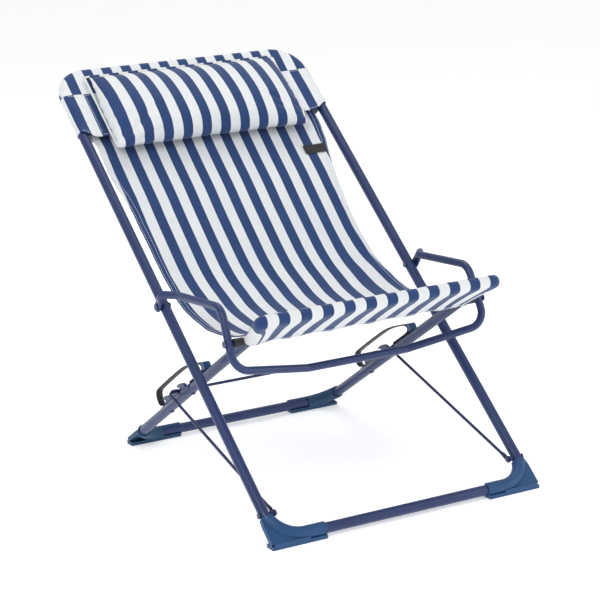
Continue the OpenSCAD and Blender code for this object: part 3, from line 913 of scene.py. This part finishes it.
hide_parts("head_cushion")
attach(cushion, "back_frame")

# Sewn lips along the cushion's two ends and its top
lip_verts, lip_faces, lip_run = [], [], []


def lip(points, out_dir, width):
    base = len(lip_verts)
    n = len(points)
    for x, s, v in points:
        for a, h in ((0, -0.7), (0, 0.7), (width, 0.55), (width, -0.55)):
            w = 0.5 * math.sin((x + s) / 8.0) * a / max(width, 1)
            lip_verts.append(in_back(C_MID + x + out_dir[0] * a, s + out_dir[1] * a, v + h + w))
            lip_run.append(s / 1000)
    for i in range(n - 1):
        for k in range(4):
            k2 = (k + 1) % 4
            a, b = base + i * 4, base + (i + 1) * 4
            lip_faces.append((a + k, a + k2, b + k2, b + k))
    lip_faces.append(tuple(base + k for k in range(4)))
    lip_faces.append(tuple(base + (n - 1) * 4 + k for k in range(4)))


for side in (-1, 1):
    lip([(side * (C_HALF - 3.5), C_S0 + 5 + 188 * k / 60, 17.2) for k in range(61)], (side, 0), 4.6)
lip([(-C_HALF + 2 + (2 * C_HALF - 4) * k / 120, C_S1 - 3, 15.4) for k in range(121)], (0, 1), 5.0)
lips = make("head_cushion_seams", lip_verts, lip_faces, M_CUSH, lip_run)
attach(lips, "back_frame")

# ---------------------------------------------------------------- tab
tab_c = (677.0, 560.8)
ang = math.radians(43.2)
tp = np.zeros((27, 14, 3))
for i in range(27):
    for j in range(14):
        a, b = i / 26, j / 13
        x = 190 + 52 * a
        t = -11 + 22 * b
        v = 2.4 + 0.5 * math.sin(a * 5 + 0.5) * math.sin(math.pi * b) + 0.9 * a ** 3
        tp[i, j] = place(x, (tab_c[0] + t * math.cos(ang) - v * math.sin(ang), tab_c[1] + t * math.sin(ang)
                             + v * math.cos(ang)))
rr = np.tile(np.linspace(0, 0.022, 14), (27, 1))
tab = slab("tab_tape", tp, np.full((27, 14), 0.0009), rr, M_LABEL)
sub = tab.modifiers.new("soft", "SUBSURF")
sub.levels = sub.render_levels = 1
apply_mods(tab)
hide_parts("label_tab")
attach(tab, "back_frame")

# ---------------------------------------------------------------- wire stay
WIRE_X = 256           # half the distance between the wire's two long runs
p3 = back_yz(53, 0)
p4 = seat_yz(266, 14.6)
wire = rounded([(WIRE_X, *p3), (WIRE_X, *p4), (-WIRE_X, *p4), (-WIRE_X, *p3)], [0, 13, 13, 0], 5)
wire = densify(wire, 8)


def wire_section(i, a):
    """The ends are pressed flat into the eyes round the pivots."""
    f = float(smoothstep((26 - d_end[i]) / 14))
    wide, thin = 3.0 + 3.0 * f, 3.0 - 0.8 * f
    return thin * math.cos(a), wide * math.sin(a)


wire = np.array([w for w in wire if min(np.linalg.norm(w - wire[0]), np.linalg.norm(w - wire[-1])) > 5.5])
d_end = np.minimum(np.linalg.norm(wire - np.array((WIRE_X, *p3)), axis=1),
                   np.linalg.norm(wire - np.array((-WIRE_X, *p3)), axis=1))
stay = sweep("wire_stay_rod", wire, M_WIRE, wire_section, (1, 0, 0), 16)
eye_v, eye_f = [], []
EYE = [(3.12, -2.2), (3.6, -2.5), (5.9, -2.5), (6.6, -1.9), (6.6, 1.9), (5.9, 2.5), (3.6, 2.5), (3.12, 2.2)]
for side in (-1, 1):
    base = len(eye_v)
    for k in range(40):
        a = 2 * math.pi * k / 40
        for r_, t_ in EYE:
            eye_v.append(place(side * WIRE_X + t_, (p3[0] + r_ * math.cos(a), p3[1] + r_ * math.sin(a))))
    for k in range(40):
        for q in range(8):
            q2, k2 = (q + 1) % 8, (k + 1) % 40
            eye_f.append((base + k * 8 + q, base + k * 8 + q2, base + k2 * 8 + q2, base + k2 * 8 + q))
eyes = make("wire_stay_eyes", eye_v, eye_f, M_WIRE)
for o in (stay, eyes):
    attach(o, "wire_stay")
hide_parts("stay_rod_left", "stay_rod_right", "stay_crossbar")

# ---------------------------------------------------------------- armrest loop
p1 = back_yz(535, 0)
PX, PT, AX = 287.4, 5.0, 270.0
TIP = 9.95             # from the pivot to the flattened tube's rounded end
half = [(PX + PT / 2, 403, 369), (PX + PT / 2, 391, 385.5), (AX, 366, 386.2), (AX - 1.5, 190, 400),
        (273.6, 137.7, 293.4), (108.6, 162, 264.8)]
outwards = np.array([0, p1[0] - half[0][1], p1[1] - half[0][2]])
outwards /= np.linalg.norm(outwards)
tip = np.array([PX + PT / 2, p1[0], p1[1]]) + outwards * TIP
pts = [tuple(tip)] + half[1:]
bends = [0, 14, 14, 32, 34, 55]
full = pts + [(-a, b_, c) for a, b_, c in pts[::-1]]
path = densify(rounded(full, bends + bends[::-1], 4), 5)


def arm_section(i, a):
    """Pressed flat round the pivot, then swelling back to a round tube."""
    f = float(smoothstep((36 - from_end[i]) / 14))
    thin, wide = 7.5 + (2.5 - 7.5) * f, 7.5 + (10.0 - 7.5) * f
    c, s_ = math.cos(a), math.sin(a)
    e = 1 - 0.62 * f
    u_ = math.copysign(abs(c) ** e, c) * thin
    w_ = math.copysign(abs(s_) ** (1 - 0.25 * f), s_) * wide
    if from_end[i] < TIP:
        w_ *= math.sqrt(max(1 - ((TIP - from_end[i]) / 10.0) ** 2, 0.01))
    return u_, w_


# more rings round the rounded tips
step = (path[1] - path[0]) / np.linalg.norm(path[1] - path[0])
rings = [path[0] + step * q for q in (0.0, 0.4, 1.2, 2.5, 4.2)]
path = np.vstack([rings, path[1:-1], [p * np.array([-1, 1, 1]) for p in rings[::-1]]])
run_len = np.r_[0, np.cumsum(np.linalg.norm(np.diff(path, axis=0), axis=1))]
from_end = np.minimum(run_len, run_len[-1] - run_len)
arm = sweep("armrest_tube", path, M_PAINT, arm_section, (1, 0, 0), 28)
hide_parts("armrest_loop")
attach(arm, "armrest_loop")

# ---------------------------------------------------------------- guards: ribbed rubber strips
GUARD = catmull([(176, 13.6), (169.5, 19), (168, 27), (169, 36), (176, 43.5), (190, 45.6), (250, 46.4),
                 (310, 45.6), (345, 41), (376, 33.5), (394, 28), (402, 20.5), (399, 13.6), (388, 11.9),
                 (376, 11.6), (364, 11.6), (348, 11.6), (332.4, 11.6)], 8)


def guard_profile():
    """Outline of the strip's cut: flat inside, four long ribs outside."""
    out = []
    for k in range(37):
        a = -7 + 14 * k / 36
        rib = 0.6 * (0.5 - 0.5 * math.cos(2 * math.pi * (a + 7) / 14 * 4))
        edge = min(1.0, (7 - abs(a)) / 0.7 + 0.25)
        out.append((a, (1.0 + rib) * edge))
    for k in range(9):
        a = 7 - 14 * k / 8
        out.append((a, -1.45 if abs(a) < 6.5 else -1.0))
    return out


GP = guard_profile()
tg = np.gradient(GUARD, axis=0)
tg /= np.linalg.norm(tg, axis=1)[:, None]
nr = np.stack([-tg[:, 1], tg[:, 0]], 1)
for name, side in (("right", -1), ("left", 1)):
    verts, faces = [], []
    m = len(GP)
    for i, (s, v) in enumerate(GUARD):
        for a, h in GP:
            verts.append(in_seat(side * SEAT_HALF + a, s + nr[i, 0] * h, v + nr[i, 1] * h))
    for i in range(len(GUARD) - 1):
        for k in range(m):
            k2 = (k + 1) % m
            faces.append((i * m + k, i * m + k2, (i + 1) * m + k2, (i + 1) * m + k))
    faces.append(tuple(range(m)))
    faces.append(tuple(range((len(GUARD) - 1) * m, len(GUARD) * m)))
    g = make("guard_strip_" + name, verts, faces, M_BLACK)
    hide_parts("guard_" + name)
    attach(g, "seat_frame")

# ---------------------------------------------------------------- CAD nodes that stay: finish and eased edges
FINISH = {
    "back_frame": (M_PAINT, 0), "seat_frame": (M_PAINT, 0),
    "rack_left": (M_PAINT, 0.9), "rack_right": (M_PAINT, 0.9),
    "armrest_rivets": (M_RIVET, 1.0), "stay_rivets": (M_RIVET, 0.9), "seat_rivets": (M_RIVET, 1.0),
    "rack_rivets": (M_RIVET, 0.6), "seat_rivet_tails": (M_RIVET, 0.6), "stay_spacers": (M_RIVET, 0.4),
    "armrest_washers": (M_BLACK, 0.3), "seat_spacers": (M_BLACK, 1.0), "guard_clips": (M_BLUE, 0.9),
    "front_shoe_left": (M_BLUE, 1.1), "front_shoe_right": (M_BLUE, 1.1),
    "rear_shoe_left": (M_TEAL, 1.1), "rear_shoe_right": (M_TEAL, 1.1)}
for name, (mat, ease) in FINISH.items():
    o = nodes[name]
    if not o.material_slots:
        o.data.materials.append(mat)
    for slot_ in o.material_slots:
        slot_.link = "OBJECT"
        slot_.material = mat
    if ease:
        w = o.modifiers.new("weld", "WELD")
        w.merge_threshold = 0.00002
        bv = o.modifiers.new("ease", "BEVEL")
        bv.limit_method, bv.angle_limit = "ANGLE", math.radians(38)
        bv.width, bv.segments, bv.use_clamp_overlap = ease / 1000, 3, True
        bv.harden_normals = False
